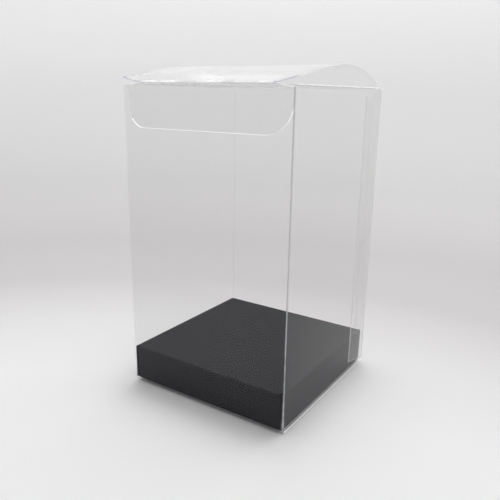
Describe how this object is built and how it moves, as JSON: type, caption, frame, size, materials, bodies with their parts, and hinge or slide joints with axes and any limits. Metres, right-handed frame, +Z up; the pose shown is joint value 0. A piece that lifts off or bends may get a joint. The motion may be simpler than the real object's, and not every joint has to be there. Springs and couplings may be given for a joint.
{
  "type": "display box",
  "caption": "Clear folding carton with a hinged tuck lid, dust flaps, a tucked bottom and a removable black card plinth that a small collectible stands on.",
  "frame": {"origin": "middle of the box's footprint, on the surface that it stands on", "axes": "+Z up along the height; the front panel, behind which the lid tucks, faces -Y; the glued corner is at +X +Y"},
  "size_m": [0.06, 0.06, 0.1061],
  "materials": {
    "clear_sheet": "clear glossy rigid PVC sheet",
    "clear_glue": "thin dried film of clear glue",
    "black_card": "matt black card"
  },
  "bodies": {
    "sleeve": {"front_panel": "clear_sheet", "right_panel": "clear_sheet", "left_panel": "clear_sheet", "back_panel": "clear_sheet", "glue_tab": "clear_sheet", "seam_adhesive": "clear_glue"},
    "lid": {"lid_panel": "clear_sheet"},
    "tuck": {"tuck_flap": "clear_sheet"},
    "dust_left": {"dust_flap_left": "clear_sheet"},
    "dust_right": {"dust_flap_right": "clear_sheet"},
    "bottom_lid": {"bottom_closure_panel": "clear_sheet"},
    "bottom_tuck": {"bottom_tuck_flap": "clear_sheet"},
    "bottom_dust_left": {"bottom_dust_flap_left": "clear_sheet"},
    "bottom_dust_right": {"bottom_dust_flap_right": "clear_sheet"},
    "plinth": {"plinth_deck": "black_card", "plinth_skirt_front": "black_card", "plinth_skirt_back": "black_card", "plinth_skirt_left": "black_card", "plinth_skirt_right": "black_card", "plinth_corner_tab_front_left": "black_card", "plinth_corner_tab_front_right": "black_card", "plinth_corner_tab_back_left": "black_card", "plinth_corner_tab_back_right": "black_card", "plinth_corner_glue_front_left": "clear_glue", "plinth_corner_glue_front_right": "clear_glue", "plinth_corner_glue_back_left": "clear_glue", "plinth_corner_glue_back_right": "clear_glue"}
  },
  "joints": [
    {"name": "lid_hinge", "type": "hinge", "parent": "sleeve", "child": "lid", "pos_m": [0, 0.02965, 0.09965], "axis": [-1, 0, 0], "range_deg": [0, 180]},
    {"name": "tuck_crease", "type": "hinge", "parent": "lid", "child": "tuck", "pos_m": [0, -0.02905, 0.1005], "axis": [-1, 0, 0], "range_deg": [0, 36]},
    {"name": "dust_left_crease", "type": "hinge", "parent": "sleeve", "child": "dust_left", "pos_m": [-0.02965, 0, 0.09965], "axis": [0, -1, 0], "range_deg": [0, 90]},
    {"name": "dust_right_crease", "type": "hinge", "parent": "sleeve", "child": "dust_right", "pos_m": [0.02965, 0, 0.09965], "axis": [0, 1, 0], "range_deg": [0, 90]},
    {"name": "bottom_hinge", "type": "hinge", "parent": "sleeve", "child": "bottom_lid", "pos_m": [0, -0.02965, 0.00035], "axis": [-1, 0, 0], "range_deg": [0, 180]},
    {"name": "bottom_tuck_crease", "type": "hinge", "parent": "bottom_lid", "child": "bottom_tuck", "pos_m": [0, 0.02925, 0.00035], "axis": [-1, 0, 0], "range_deg": [0, 36]},
    {"name": "bottom_dust_left_crease", "type": "hinge", "parent": "sleeve", "child": "bottom_dust_left", "pos_m": [-0.02965, 0, 0.00075], "axis": [0, 1, 0], "range_deg": [0, 90]},
    {"name": "bottom_dust_right_crease", "type": "hinge", "parent": "sleeve", "child": "bottom_dust_right", "pos_m": [0.02965, 0, 0.00075], "axis": [0, -1, 0], "range_deg": [0, 90]},
    {"name": "plinth_lift", "type": "slide", "parent": "sleeve", "child": "plinth", "axis": [0, 0, 1], "range_m": [0, 0.072]}
  ],
  "couplings": [
    {"joint": "tuck_crease", "follows": "lid_hinge", "ratio": 0.2},
    {"joint": "dust_left_crease", "follows": "lid_hinge", "ratio": 0.5},
    {"joint": "dust_right_crease", "follows": "lid_hinge", "ratio": 0.5},
    {"joint": "bottom_tuck_crease", "follows": "bottom_hinge", "ratio": 0.2},
    {"joint": "bottom_dust_left_crease", "follows": "bottom_hinge", "ratio": 0.5},
    {"joint": "bottom_dust_right_crease", "follows": "bottom_hinge", "ratio": 0.5}
  ]
}
